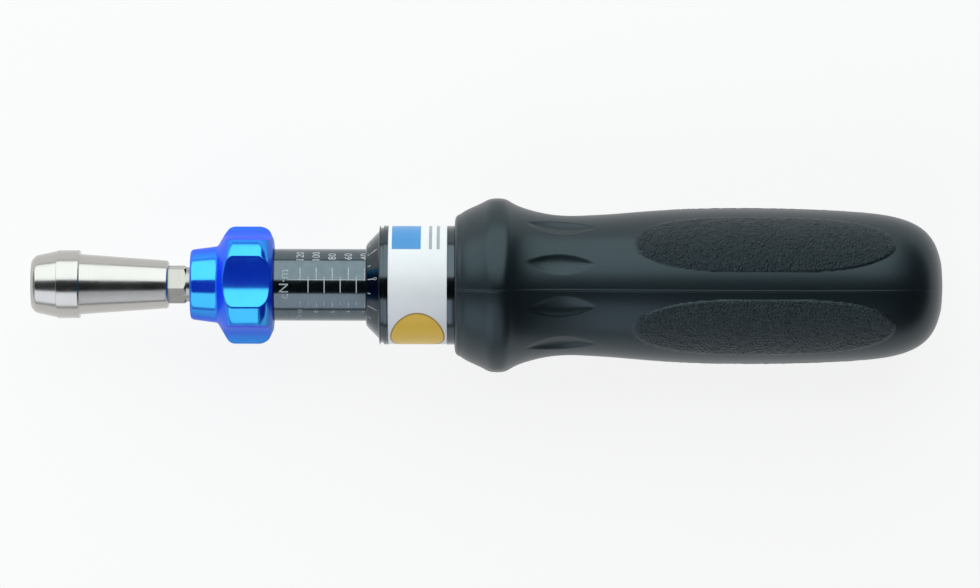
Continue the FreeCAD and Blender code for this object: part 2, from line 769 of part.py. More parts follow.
def make_handle():
    """Moulded handle: five lens-shaped facets on the crest, a pair of flutes by each ridge, blind bore."""
    blank = doc.addObject("Part::Revolution", "handle_blank")
    blank.Source = handle_outline()
    blank.Axis = FreeCAD.Vector(1, 0, 0)
    blank.Base = FreeCAD.Vector(0, 0, 0)
    blank.Angle = 360
    blank.Solid = True
    step = 360.0 / SIZES["ridge_count"]
    facets = []
    flutes = []
    for number in range(SIZES["ridge_count"]):
        ridge = step * number
        facets.append(rod(f"crest_facet_{number}", "handle_front - end_gap", "handle_end + end_gap",
                          "facet_radius", ridge + step / 2 + 180, "facet_offset"))
        for side in (-1, 1):
            flute = doc.addObject("Part::Ellipsoid", f"flute_{len(flutes)}")
            bind(flute, Radius1="flute_half_width", Radius2="flute_half_length",
                 Radius3="flute_half_depth")
            flutes.append(place(flute, "handle_front + flute_at", ridge + side * SIZES["flute_angle"],
                                "waist_radius + flute_half_depth - flute_depth", stand_on_axis=False,
                                roll=90))
    form = joined("MultiCommon", "handle_form", [blank] + facets)
    bore = turned("handle_bore", [
        ("handle_front - end_gap", "0"),
        ("handle_front - end_gap", "tube_radius + close_fit"),
        ("plug_back + close_fit", "tube_radius + close_fit"),
        ("plug_back + close_fit", "core_radius"),
        ("core_end", "core_radius"),
        ("core_end", "0"),
    ])
    return cut("handle", form, flutes + [bore])


make_bit_holder()
make_clip("bit_clip", "clip_from_mouth")
make_clip("holder_clip", "holder_length - clip_from_tail")
make_magnet()
make_spindle()
make_knob()
make_set_screw()
make_scale_sleeve()
make_front_bush()
make_calibration_nut()
make_thrust_parts()
main_spring = make_main_spring()
make_rear_seat()
make_sliding_cam()
make_fixed_cam()
joined("Compound", "cam_dowels", dowels("cam_dowel", "dowel_radius"))
make_balls_and_cage()
make_plug()
make_spindle_retainer()
make_housing()
make_seal()
make_label_band()
make_handle()
place(main_spring, "spring_front + close_fit")

SUB_PARTS = [
    "bit_holder", "bit_clip", "holder_clip", "bit_magnet", "drive_spindle", "adjusting_knob",
    "knob_set_screw", "scale_sleeve", "front_bush", "calibration_nut", "thrust_washer", "thrust_balls",
    "front_spring_seat", "main_spring", "rear_spring_seat", "sliding_cam", "fixed_cam", "cam_dowels",
    "clutch_balls", "ball_cage", "clutch_plug", "rear_bush", "spindle_washer", "spindle_circlip",
    "housing", "sleeve_seal", "label_band", "handle",
]


def write_sub_parts():
    """Check the whole document, then write each sub-part to its own STEP file."""
    doc.recompute()
    for item in doc.Objects:
        if "Invalid" in item.State or "Error" in item.State:
            raise RuntimeError(f"{item.Label} failed: {item.State}")
    for label in SUB_PARTS:
        shape = doc.getObjectsByLabel(label)[0].Shape
        if shape.isNull() or not shape.isValid():
            raise RuntimeError(f"{label} has no valid shape")
    os.makedirs("parts", exist_ok=True)
    for label in SUB_PARTS:
        shape = doc.getObjectsByLabel(label)[0].Shape
        shape.exportStep(f"parts/{label}.step")
        print(f"{label}: {len(shape.Solids)} solid(s), {shape.Volume:.1f} mm3")


write_sub_parts()
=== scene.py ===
"""Looks of an adjustable torque screwdriver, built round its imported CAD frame.

The tool's axis is X, with the mouth of the bit holder at X = 0 and the handle at the +X end.  Z is up.
Sizes are in millimetres and become metres where a mesh is made.  Angles round the axis are measured
from +Z towards +Y.
"""
import math

import bmesh
import bpy
import numpy as np
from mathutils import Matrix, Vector, noise


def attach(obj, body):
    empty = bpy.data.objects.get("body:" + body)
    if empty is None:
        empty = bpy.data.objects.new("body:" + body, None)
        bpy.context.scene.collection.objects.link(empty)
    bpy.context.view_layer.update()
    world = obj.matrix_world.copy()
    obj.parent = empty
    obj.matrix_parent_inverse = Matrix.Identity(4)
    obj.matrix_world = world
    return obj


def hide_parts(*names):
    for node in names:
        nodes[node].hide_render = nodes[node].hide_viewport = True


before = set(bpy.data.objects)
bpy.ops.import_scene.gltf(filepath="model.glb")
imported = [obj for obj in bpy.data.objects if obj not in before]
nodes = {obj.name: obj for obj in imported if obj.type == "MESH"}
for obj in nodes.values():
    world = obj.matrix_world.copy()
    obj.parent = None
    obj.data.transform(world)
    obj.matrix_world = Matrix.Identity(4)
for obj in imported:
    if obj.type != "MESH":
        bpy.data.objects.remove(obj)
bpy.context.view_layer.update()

MM = 0.001


# ---------------------------------------------------------------------------------------------
# Bit holder: turned from stainless bar, with a flared nose, a sharp step and a long tapered neck.
# Both ends are broached with a 6.35 mm hexagon; fine turning marks run round it.
# ---------------------------------------------------------------------------------------------
def linear(code):
    """An sRGB hex colour as the linear RGBA that a shader takes."""
    parts = [int(code[at:at + 2], 16) / 255 for at in (1, 3, 5)]
    return [c / 12.92 if c <= 0.04045 else ((c + 0.055) / 1.055) ** 2.4 for c in parts] + [1.0]


def add_node(tree, kind, sockets=None, **fields):
    """Add a node with its fields; each socket takes a number or a link from another node's output."""
    made = tree.nodes.new(kind)
    for field, setting in fields.items():
        setattr(made, field, setting)
    for key, setting in (sockets or {}).items():
        if isinstance(setting, bpy.types.NodeSocket):
            tree.links.new(setting, made.inputs[key])
        else:
            made.inputs[key].default_value = setting
    return made


def new_material(name):
    """An empty node material and its tree."""
    material = bpy.data.materials.new(name)
    material.use_nodes = True
    material.node_tree.nodes.clear()
    return material, material.node_tree


def finish_material(tree, surface):
    """Join a shader to the material's output."""
    add_node(tree, "ShaderNodeOutputMaterial", {"Surface": surface.outputs[0]})


def turned_metal(name, dark, pale, roughness, spacing, depth):
    """Metal that came off a lathe: marks of that spacing run round X, and its tone drifts a little."""
    material, tree = new_material(name)
    place = add_node(tree, "ShaderNodeTexCoord")
    along = add_node(tree, "ShaderNodeSeparateXYZ", {0: place.outputs["Object"]})
    line = add_node(tree, "ShaderNodeCombineXYZ", {"X": along.outputs["X"]})
    marks = add_node(tree, "ShaderNodeTexNoise", {
        "Vector": line.outputs[0], "Scale": 1 / (spacing * MM), "Detail": 3.0, "Roughness": 0.6})
    cloud = add_node(tree, "ShaderNodeTexNoise", {
        "Vector": place.outputs["Object"], "Scale": 1 / (4.0 * MM), "Detail": 4.0})
    tone = add_node(tree, "ShaderNodeMix", {
        0: marks.outputs["Fac"], 6: linear(dark), 7: linear(pale)}, data_type="RGBA")
    dull = add_node(tree, "ShaderNodeMapRange", {
        "Value": cloud.outputs["Fac"], "From Min": 0.3, "From Max": 0.7,
        "To Min": roughness * 0.85, "To Max": roughness * 1.2})
    bump = add_node(tree, "ShaderNodeBump", {
        "Height": marks.outputs["Fac"], "Strength": 0.35, "Distance": depth * MM})
    finish_material(tree, add_node(tree, "ShaderNodeBsdfPrincipled", {
        "Base Color": tone.outputs[2], "Metallic": 1.0, "Roughness": dull.outputs[0],
        "Normal": bump.outputs[0]}))
    return material


def every(step, turn=0.0):
    """Angles in radians round the whole circle, a step in degrees apart."""
    return [math.radians(turn + step * number) for number in range(round(360 / step))]


def softened(corners, closed=False):
    """An outline whose corners (x, radius, edge) are rounded off over that much of each side."""
    points = []
    count = len(corners)
    for index, (x, radius, edge) in enumerate(corners):
        if edge == 0 or (not closed and index in (0, count - 1)):
            points.append((x, radius))
            continue
        here = Vector((x, radius))
        sides = [Vector(corners[(index + step) % count][:2]) - here for step in (-1, 1)]
        start, stop = (here + side.normalized() * min(edge, 0.48 * side.length) for side in sides)
        for part in range(5):
            t = part / 4
            spot = start * (1 - t) ** 2 + here * 2 * t * (1 - t) + stop * t ** 2
            points.append((spot.x, spot.y))
    return points


def finish_piece(name, mesh_data, body, material, stands_for=()):
    """Make a smooth-shaded object from a bmesh, give it its finish, and set it on its body."""
    mesh = bpy.data.meshes.new(name)
    bmesh.ops.recalc_face_normals(mesh_data, faces=mesh_data.faces[:])
    mesh_data.to_mesh(mesh)
    mesh_data.free()
    for polygon in mesh.polygons:
        polygon.use_smooth = True
    mesh.set_sharp_from_angle(angle=math.radians(34))
    mesh.materials.append(material)
    piece = bpy.data.objects.new(name, mesh)
    bpy.context.scene.collection.objects.link(piece)
    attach(piece, body)
    if stands_for:
        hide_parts(*stands_for)
    return piece


def turned(outline, angles, closed=True):
    """Bmesh of rings round X.  A radius is a number in mm, or a function of the angle that gives one."""
    made = bmesh.new()
    rings = []
    for x, radius in outline:
        if radius == 0:
            rings.append([made.verts.new((x * MM, 0, 0))] * len(angles))
            continue
        ring = []
        for angle in angles:
            out = (radius(angle) if callable(radius) else radius) * MM
            ring.append(made.verts.new((x * MM, out * math.sin(angle), out * math.cos(angle))))
        rings.append(ring)
    pairs = list(zip(rings, rings[1:])) + ([(rings[-1], rings[0])] if closed else [])
    for first, second in pairs:
        for at in range(len(angles)):
            after = (at + 1) % len(angles)
            corners = []
            for vertex in (first[at], first[after], second[after], second[at]):
                if vertex not in corners:
                    corners.append(vertex)
            if len(corners) > 2:
                made.faces.new(corners)
    return made


def hexagon(across, turn):
    """Radius of a hexagon, as a function of the angle, with one corner at the turn in degrees."""
    def radius(angle):
        from_flat = (angle - math.radians(turn)) % (math.pi / 3) - math.pi / 6
        return across / 2 / math.cos(from_flat)
    return radius


# Stainless steel: bright and a little warm, satin from the lathe
stainless = turned_metal("satin_turned_stainless", "#b0aeaa", "#c2c0bc", 0.2, 0.16, 0.015)

HEX_TURN = -11.5
socket_hex = hexagon(6.45, HEX_TURN)
holder_outline = softened([
    (14.5, 0, 0),
    (14.5, 2.92, 0),
    (11.5, 2.92, 0),
    (11.5, 2.95, 0),
])
holder_outline += [
    (11.5, socket_hex), (2.62, socket_hex), (2.62, 4.18), (1.78, 4.18), (1.78, socket_hex),
    (1.4, socket_hex)]
holder_outline += softened([
    (1.4, 3.72, 0),
    (1.4, 3.75, 0),
    (0, 3.75, 0.12),
    (0, 4.4, 0.2),
    (0.75, 5.25, 0.45),
    (4.8, 6.13, 0.05),
    (4.8, 6.25, 0.08),
    (8.75, 6.25, 0.12),
    (8.9, 6.1, 0.08),
    (8.9, 5.55, 0.1),
    (24.9, 4.4, 0.1),
    (25.2, 4.1, 0.1),
    (25.2, 3.8, 0),
])
holder_outline += [
    (25.2, socket_hex), (22.62, socket_hex), (22.62, 4.0), (21.78, 4.0), (21.78, socket_hex),
    (16.2, socket_hex), (16.2, 0)]
finish_piece(
    "bit_holder_body", turned(holder_outline, every(1.5, HEX_TURN), closed=False),
    "spindle", stainless, ["bit_holder"])


# ---------------------------------------------------------------------------------------------
# Spring clips and magnet: round spring wire snapped into a groove at each end of the bit holder,
# and a nickel-plated disc magnet pressed into the bottom of the bit socket.
# ---------------------------------------------------------------------------------------------
def dress(names, material):
    """Give CAD nodes their finish."""
    for name in names:
        nodes[name].material_slots[0].material = material


# Drawn spring steel: grey and shinier than the turned parts
spring_steel = turned_metal("drawn_spring_steel", "#8e9092", "#a8aaac", 0.3, 0.3, 0.01)
# Nickel plate over the magnet: warm and nearly mirror bright
nickel = turned_metal("nickel_plate", "#b5b0a4", "#cbc6bb", 0.16, 0.5, 0.004)
dress(["bit_clip", "holder_clip", "spindle_circlip", "main_spring"], spring_steel)
dress(["bit_magnet"], nickel)

# ---------------------------------------------------------------------------------------------
# Spindle: one stainless shaft, milled to a hexagon at the front where it plugs into the bit holder.
# A short stretch of it shows between the bit holder and the knob.
# ---------------------------------------------------------------------------------------------
# Milled stainless: the flats are a little duller than the turned holder
milled_steel = turned_metal("milled_stainless", "#9d9b95", "#b0aea8", 0.26, 0.4, 0.01)
dress(["drive_spindle"], milled_steel)


# ---------------------------------------------------------------------------------------------
# Adjusting knob: aluminium, turned with a tapered hub and coned faces, then milled with five hollow
# scallops that leave five lobes.  It is anodised and dyed blue, with a clear glossy sealed surface.
# ---------------------------------------------------------------------------------------------
def smooth_least(first, second, width):
    """The smaller of two numbers, rounded off where they come within a width of each other."""
    mix = max(width - abs(first - second), 0) / width
    return min(first, second) - mix * mix * width / 4


def divided(points, step):
    """The outline with points added so that none of its sides is longer than a step."""
    result = []
    for (x, radius), (next_x, next_radius) in zip(points, points[1:]):
        parts = max(1, math.ceil(math.hypot(next_x - x, next_radius - radius) / step))
        for part in range(parts):
            t = part / parts
            result.append((x + (next_x - x) * t, radius + (next_radius - radius) * t))
    return result + [points[-1]]


LOBES = 5
SCALLOP_TURN = 3.0
SCALLOP_RADIUS = 15.5
SCALLOP_VALLEY = 9.14
SCALLOP_CENTRE = SCALLOP_RADIUS + SCALLOP_VALLEY
SCALLOP_EDGE = 0.28
KNOB_RADIUS = 10.95
KNOB_STEP = 0.16


def scallop(angle):
    """How far out the milled scallops leave metal at an angle."""
    pitch = math.tau / LOBES
    off = (angle - math.radians(SCALLOP_TURN) + pitch / 2) % pitch - pitch / 2
    inside = SCALLOP_RADIUS ** 2 - (SCALLOP_CENTRE * math.sin(off)) ** 2
    return SCALLOP_CENTRE * math.cos(off) - math.sqrt(inside) if inside > 0 else 3 * SCALLOP_RADIUS


def lobed(radius):
    """A ring of the knob: its own radius, or the scallop where that is smaller."""
    return lambda angle: smooth_least(radius, scallop(angle), SCALLOP_EDGE)


# Blue anodised aluminium: dyed oxide glows deep blue where it faces the dark, and the metal under it
# throws back cyan where it faces a lamp; seen at a slant it turns navy, partly because more dye lies in
# the way and partly as painted shade for the dark surroundings it would reflect there
blue_anodised, tree = new_material("blue_anodised_aluminium")
place = add_node(tree, "ShaderNodeTexCoord")
cloud = add_node(tree, "ShaderNodeTexNoise", {
    "Vector": place.outputs["Object"], "Scale": 1 / (2.5 * MM), "Detail": 3.0})
pores = add_node(tree, "ShaderNodeTexNoise", {
    "Vector": place.outputs["Object"], "Scale": 1 / (0.25 * MM), "Detail": 2.0})
bump = add_node(tree, "ShaderNodeBump", {
    "Height": pores.outputs["Fac"], "Strength": 0.12, "Distance": 0.01 * MM})
dye = add_node(tree, "ShaderNodeMix", {
    0: cloud.outputs["Fac"], 6: linear("#002ef0"), 7: linear("#003cff")}, data_type="RGBA")
sheen_tone = add_node(tree, "ShaderNodeMix", {
    0: cloud.outputs["Fac"], 6: linear("#48d0f4"), 7: linear("#54dafc")}, data_type="RGBA")
dull = add_node(tree, "ShaderNodeMapRange", {
    "Value": cloud.outputs["Fac"], "To Min": 0.1, "To Max": 0.16})
oxide = add_node(tree, "ShaderNodeBsdfPrincipled", {
    "Base Color": dye.outputs[2], "Roughness": 0.45, "Specular IOR Level": 0.15,
    "Normal": bump.outputs[0]})
under = add_node(tree, "ShaderNodeBsdfPrincipled", {
    "Base Color": sheen_tone.outputs[2], "Metallic": 1.0, "Roughness": dull.outputs[0],
    "Normal": bump.outputs[0]})
# Painted shade: at a slant the mix gives less metal and more plain dye, to darken the knob's edges and
# underside
slant = add_node(tree, "ShaderNodeLayerWeight", {"Blend": 0.5})
metal_share_and_painted_slant_shade = add_node(tree, "ShaderNodeMapRange", {
    "Value": slant.outputs["Facing"], "From Min": 0.2, "From Max": 0.6, "To Min": 0.55, "To Max": 0.14})
finish_material(tree, add_node(tree, "ShaderNodeMixShader", {
    0: metal_share_and_painted_slant_shade.outputs[0], 1: oxide.outputs[0], 2: under.outputs[0]}))

hub = softened([
    (35.0, 4.2, 0), (29.26, 4.2, 0.1), (29.26, 6.1, 0.12), (29.61, 6.45, 0.3), (34.2, 7.05, 0.4),
    (34.9, 8.25, 0)])
lobe_outline = divided(softened([
    (34.9, 8.25, 0), (36.25, 10.55, 0.5), (37.0, KNOB_RADIUS, 0.4), (42.3, KNOB_RADIUS, 0.5),
    (43.6, 10.2, 0.6), (44.5, 8.3, 0.25), (44.5, 7.6, 0)]), KNOB_STEP)
knob_outline = hub[:-1] + [(x, lobed(radius)) for x, radius in lobe_outline]
knob_outline += [(44.5, 5.62), (35.0, 5.62)]
knob = turned(knob_outline, every(0.75))
finish_piece("knob_body", knob, "adjuster", blue_anodised, ["adjusting_knob"])

# ---------------------------------------------------------------------------------------------
# Knob set screw: a short headless screw of black-oxide steel with a hexagon key socket.
# ---------------------------------------------------------------------------------------------
# Black oxide: thin, satin and slightly brown
black_oxide = turned_metal("black_oxide_steel", "#26272a", "#33353a", 0.38, 0.3, 0.01)
dress(["knob_set_screw", "clutch_plug"], black_oxide)


# ---------------------------------------------------------------------------------------------
# Scale sleeve: black anodised aluminium tube that screws in and out of the housing with the knob.
# Its scale is engraved and filled with pale paint: lines, plain numbers and the unit.
# ---------------------------------------------------------------------------------------------
def add_strip(made, x_range, turn_range, radius_at, lift):
    """Add a thin strip that lies on a round surface, between two places on X and two angles."""
    parts = max(1, math.ceil(abs(turn_range[1] - turn_range[0]) / 2))
    rows = []
    for part in range(parts + 1):
        turn = math.radians(turn_range[0] + (turn_range[1] - turn_range[0]) * part / parts)
        row = []
        for x in x_range:
            out = (radius_at(x) + lift) * MM
            row.append(made.verts.new((x * MM, out * math.sin(turn), out * math.cos(turn))))
        rows.append(row)
    for first, second in zip(rows, rows[1:]):
        made.faces.new((first[0], first[1], second[1], second[0]))


def add_text(made, text, height, x, turn, radius_at, lift):
    """Add text that reads round the tool, its line running towards larger angles and its top to -X."""
    curve = bpy.data.curves.new("text_line", "FONT")
    curve.body = text
    curve.size = height * MM
    curve.align_x = "CENTER"
    curve.align_y = "CENTER"
    curve.resolution_u = 3
    holder = bpy.data.objects.new("text_line", curve)
    flat_mesh = bpy.data.meshes.new_from_object(holder)
    flat = bmesh.new()
    flat.from_mesh(flat_mesh)
    half = max(abs(vertex.co.x) for vertex in flat.verts)
    step = 0.25 * MM
    for number in range(-int(half / step), int(half / step) + 1):
        everything = flat.verts[:] + flat.edges[:] + flat.faces[:]
        bmesh.ops.bisect_plane(flat, geom=everything, plane_co=(number * step, 0, 0), plane_no=(1, 0, 0))
    bmesh.ops.triangulate(flat, faces=flat.faces[:])
    for vertex in flat.verts:
        at = x - vertex.co.y / MM
        around = math.radians(turn) + vertex.co.x / MM / radius_at(x)
        out = (radius_at(at) + lift) * MM
        vertex.co = (at * MM, out * math.sin(around), out * math.cos(around))
    flat.to_mesh(flat_mesh)
    flat.free()
    made.from_mesh(flat_mesh)
    bpy.data.meshes.remove(flat_mesh)
    bpy.data.objects.remove(holder)
    bpy.data.curves.remove(curve)


# Black anodised aluminium: the dark oxide still shines like metal, in a soft grey-blue
black_anodised, tree = new_material("black_anodised_aluminium")
place = add_node(tree, "ShaderNodeTexCoord")
along = add_node(tree, "ShaderNodeSeparateXYZ", {0: place.outputs["Object"]})
line = add_node(tree, "ShaderNodeCombineXYZ", {"X": along.outputs["X"]})
marks = add_node(tree, "ShaderNodeTexNoise", {
    "Vector": line.outputs[0], "Scale": 1 / (0.12 * MM), "Detail": 2.0})
cloud = add_node(tree, "ShaderNodeTexNoise", {
    "Vector": place.outputs["Object"], "Scale": 1 / (1.5 * MM), "Detail": 4.0})
tone = add_node(tree, "ShaderNodeMix", {
    0: cloud.outputs["Fac"], 6: linear("#525d62"), 7: linear("#646f75")}, data_type="RGBA")
dull = add_node(tree, "ShaderNodeMapRange", {
    "Value": cloud.outputs["Fac"], "To Min": 0.1, "To Max": 0.17})
bump = add_node(tree, "ShaderNodeBump", {
    "Height": marks.outputs["Fac"], "Strength": 0.15, "Distance": 0.004 * MM})
finish_material(tree, add_node(tree, "ShaderNodeBsdfPrincipled", {
    "Base Color": tone.outputs[2], "Metallic": 1.0, "Roughness": dull.outputs[0],
    "Normal": bump.outputs[0]}))

# Engraving paint: a thin, chalky pale grey fill, worn a little
mark_paint, tree = new_material("engraving_paint")
place = add_node(tree, "ShaderNodeTexCoord")
wear = add_node(tree, "ShaderNodeTexNoise", {
    "Vector": place.outputs["Object"], "Scale": 1 / (0.5 * MM), "Detail": 3.0})
tone = add_node(tree, "ShaderNodeMix", {
    0: wear.outputs["Fac"], 6: linear("#8d969b"), 7: linear("#d5dbdd")}, data_type="RGBA")
finish_material(tree, add_node(tree, "ShaderNodeBsdfPrincipled", {
    "Base Color": tone.outputs[2], "Roughness": 0.6}))

SLEEVE_RADIUS = 6.62
MARK_LIFT = 0.012
sleeve_outline = softened([
    (35.3, 4.68, 0.1), (35.3, 5.6, 0.15), (44.52, 5.6, 0), (44.52, SLEEVE_RADIUS, 0.06),
    (66.2, SLEEVE_RADIUS, 0.15), (66.2, 6.0, 0), (89.7, 6.0, 0.2), (89.7, 5.26, 0),
    (86.26, 5.26, 0), (86.26, 4.3, 0), (41.3, 4.3, 0), (41.3, 4.68, 0)], closed=True)
finish_piece("sleeve_tube", turned(sleeve_outline, every(1.5)), "adjuster",
             black_anodised, ["scale_sleeve"])

FIRST_MARK = 49.53
MARK_PITCH = 2.94
MARK_HALF = 0.085
FINE_MARK_HALF = 0.06
FINEST_MARK_HALF = 0.05


def sleeve_radius(_):
    """Radius of the sleeve where its scale is."""
    return SLEEVE_RADIUS


marks = bmesh.new()
for number, text in enumerate(("120", "100", "80", "60", "40", "20")):
    x = FIRST_MARK + MARK_PITCH * number
    add_strip(marks, (x - MARK_HALF, x + MARK_HALF), (7, 28), sleeve_radius, MARK_LIFT)
    add_text(marks, text, 2.0, x, 52, sleeve_radius, MARK_LIFT)
    half = x + MARK_PITCH / 2
    add_strip(marks, (half - MARK_HALF, half + MARK_HALF), (-13, 13), sleeve_radius, MARK_LIFT)
    # The second scale, lower down, is finer and has smaller numbers
    add_strip(marks, (x - FINE_MARK_HALF, x + FINE_MARK_HALF), (-38, -28), sleeve_radius, MARK_LIFT)
    add_strip(marks, (half - FINEST_MARK_HALF, half + FINEST_MARK_HALF), (-34, -28), sleeve_radius,
              MARK_LIFT)
    add_text(marks, str(10 - 2 * number), 1.2, x, -48, sleeve_radius, MARK_LIFT)
add_strip(marks, (47.2, 66.0), (7.4, 8.6), sleeve_radius, MARK_LIFT)
add_text(marks, "cN·m", 2.5, 46.6, 1, sleeve_radius, MARK_LIFT)
add_text(marks, "lbf·in", 1.3, 49.3, -66, sleeve_radius, MARK_LIFT)
finish_piece("scale_marks", marks, "adjuster", mark_paint)

# ---------------------------------------------------------------------------------------------
# Clutch train inside the sleeve and housing: bronze bushes and nut, hardened washers, seats, cams,
# balls and dowels.  It is put together before the handle goes on and doesn't show from outside.
# ---------------------------------------------------------------------------------------------
# Sintered bronze: warm and matt, with an oily film
bronze = turned_metal("sintered_bronze", "#8a6236", "#a67a48", 0.42, 0.3, 0.02)
# Hardened and ground tool steel: cool grey
tool_steel = turned_metal("hardened_tool_steel", "#7f8388", "#999da1", 0.28, 0.25, 0.01)
dress(["front_bush", "rear_bush", "calibration_nut", "ball_cage"], bronze)
dress(["thrust_washer", "thrust_balls", "front_spring_seat", "rear_spring_seat", "sliding_cam",
       "fixed_cam", "cam_dowels", "clutch_balls", "spindle_washer"], tool_steel)

# ---------------------------------------------------------------------------------------------
# Sleeve seal: a nitrile rubber ring just inside the collar that wipes the sleeve.
# ---------------------------------------------------------------------------------------------
# Nitrile rubber: matt charcoal with a fine moulded grain
rubber, tree = new_material("nitrile_rubber")
place = add_node(tree, "ShaderNodeTexCoord")
grain = add_node(tree, "ShaderNodeTexNoise", {
    "Vector": place.outputs["Object"], "Scale": 1 / (0.2 * MM), "Detail": 3.0})
tone = add_node(tree, "ShaderNodeMix", {
    0: grain.outputs["Fac"], 6: linear("#17181a"), 7: linear("#222427")}, data_type="RGBA")
finish_material(tree, add_node(tree, "ShaderNodeBsdfPrincipled", {
    "Base Color": tone.outputs[2], "Roughness": 0.75}))
dress(["sleeve_seal"], rubber)

# ---------------------------------------------------------------------------------------------
# Housing: black anodised aluminium, turned with a coned collar, two rings and a sunk seat for the
# label, and a long tube that holds the clutch inside the handle.  The cone has a small index scale.
# ---------------------------------------------------------------------------------------------
# Satin black anodising: glossy on the rings, and darker on the cone, which is painted shade for the
# dimmer surroundings the cone reflects
housing_black, tree = new_material("satin_black_anodising")
place = add_node(tree, "ShaderNodeTexCoord")
along = add_node(tree, "ShaderNodeSeparateXYZ", {0: place.outputs["Object"]})
line = add_node(tree, "ShaderNodeCombineXYZ", {"X": along.outputs["X"]})
marks = add_node(tree, "ShaderNodeTexNoise", {
    "Vector": line.outputs[0], "Scale": 1 / (0.2 * MM), "Detail": 2.0})
cloud = add_node(tree, "ShaderNodeTexNoise", {
    "Vector": place.outputs["Object"], "Scale": 1 / (1.2 * MM), "Detail": 4.0})
# Painted shade: the cone, ahead of X = 63.8 mm, takes the darker colour
shade = add_node(tree, "ShaderNodeMapRange", {
    "Value": along.outputs["X"], "From Min": 63.8 * MM, "From Max": 64.0 * MM})
band = add_node(tree, "ShaderNodeMix", {
    0: shade.outputs[0], 6: linear("#2b3134"), 7: linear("#485055")}, data_type="RGBA")
tone = add_node(tree, "ShaderNodeMix", {
    0: cloud.outputs["Fac"], 6: band.outputs[2], 7: linear("#4a5358")}, data_type="RGBA")
dull = add_node(tree, "ShaderNodeMapRange", {
    "Value": cloud.outputs["Fac"], "To Min": 0.12, "To Max": 0.2})
bump = add_node(tree, "ShaderNodeBump", {
    "Height": marks.outputs["Fac"], "Strength": 0.15, "Distance": 0.004 * MM})
finish_material(tree, add_node(tree, "ShaderNodeBsdfPrincipled", {
    "Base Color": tone.outputs[2], "Metallic": 1.0, "Roughness": dull.outputs[0],
    "Normal": bump.outputs[0]}))

housing_outline = softened([
    (61.5, 6.7, 0.08), (61.5, 7.25, 0.1), (61.7, 7.65, 0.15), (63.95, 9.95, 0.15), (63.95, 10.8, 0.08),
    (64.1, 10.95, 0.08), (64.2, 10.95, 0.03), (64.2, 10.6, 0.05), (64.75, 10.6, 0.05),
    (64.75, 10.95, 0.08), (65.6, 10.95, 0.06), (65.6, 10.74, 0), (76.4, 10.74, 0), (76.4, 10.95, 0.06),
    (77.8, 10.95, 0.08), (77.8, 9.6, 0), (139.64, 9.6, 0), (139.64, 8.2, 0), (87.0, 8.2, 0),
    (87.0, 6.06, 0), (78.5, 6.06, 0), (78.5, 6.7, 0), (63.62, 6.7, 0), (63.62, 7.72, 0),
    (62.58, 7.72, 0), (62.58, 6.7, 0)], closed=True)
finish_piece("housing_shell", turned(housing_outline, every(1.5)), "housing",
             housing_black, ["housing"])


CONE_FRONT = (61.7, 7.65)
CONE_BACK = (63.95, 9.95)
COLLAR_MARKS = 20
COLLAR_MARK_TURN = 7


def cone_radius(x):
    """Radius of the collar's cone at a place on X."""
    share = (x - CONE_FRONT[0]) / (CONE_BACK[0] - CONE_FRONT[0])
    return CONE_FRONT[1] + share * (CONE_BACK[1] - CONE_FRONT[1])


collar_marks = bmesh.new()
for number in range(COLLAR_MARKS):
    turn = COLLAR_MARK_TURN - 360 / COLLAR_MARKS * number
    long_mark = number % 2 == 0
    add_strip(collar_marks, (61.9, 62.9 if long_mark else 62.45), (turn - 0.5, turn + 0.5), cone_radius,
              MARK_LIFT)
    if long_mark:
        add_text(collar_marks, str(number // 2 % 10), 1.1, 63.3, turn, cone_radius, MARK_LIFT)
finish_piece("collar_marks", collar_marks, "housing", mark_paint)

# ---------------------------------------------------------------------------------------------
# Label band: white glossy vinyl wrapped round the housing between its rings, with plain printed
# colour only: a blue bar, two thin grey bars and a yellow spot with an amber edge.
# ---------------------------------------------------------------------------------------------
def printed(name, dark, pale, roughness):
    """Vinyl or ink: an even colour that varies slightly in tone, with a faint unevenness."""
    material, tree = new_material(name)
    place = add_node(tree, "ShaderNodeTexCoord")
    cloud = add_node(tree, "ShaderNodeTexNoise", {
        "Vector": place.outputs["Object"], "Scale": 1 / (3.0 * MM), "Detail": 3.0})
    tone = add_node(tree, "ShaderNodeMix", {
        0: cloud.outputs["Fac"], 6: linear(dark), 7: linear(pale)}, data_type="RGBA")
    bump = add_node(tree, "ShaderNodeBump", {
        "Height": cloud.outputs["Fac"], "Strength": 0.1, "Distance": 0.02 * MM})
    finish_material(tree, add_node(tree, "ShaderNodeBsdfPrincipled", {
        "Base Color": tone.outputs[2], "Roughness": roughness, "Normal": bump.outputs[0]}))
    return material


LABEL_RADIUS = 10.86
LABEL_SEAT = 10.76


def label_radius(_):
    """Radius of the label's face."""
    return LABEL_RADIUS


# White vinyl and its four inks: semi-gloss, with a slight sheen
vinyl = printed("white_vinyl", "#eceef0", "#f4f6f8", 0.35)
blue_ink = printed("blue_ink", "#3f8fd0", "#4a9ad8", 0.35)
grey_ink = printed("grey_ink", "#9ea6ac", "#a9b1b6", 0.4)
yellow_ink = printed("yellow_ink", "#f0c23a", "#f4ca46", 0.35)
amber_ink = printed("amber_ink", "#a8802c", "#b48a34", 0.35)

label_outline = softened([
    (65.62, LABEL_SEAT, 0), (65.62, LABEL_RADIUS, 0.02), (76.38, LABEL_RADIUS, 0.02),
    (76.38, LABEL_SEAT, 0)], closed=True)
finish_piece("label_sheet", turned(label_outline, every(1.5)), "housing", vinyl,
             ["label_band"])
bar = bmesh.new()
add_strip(bar, (66.3, 71.6), (37, 128), label_radius, MARK_LIFT)
finish_piece("label_blue_bar", bar, "housing", blue_ink)
lines = bmesh.new()
for x, stop in ((73.1, 128), (74.5, 96)):
    add_strip(lines, (x, x + 0.55), (37, stop), label_radius, MARK_LIFT)
finish_piece("label_grey_bars", lines, "housing", grey_ink)


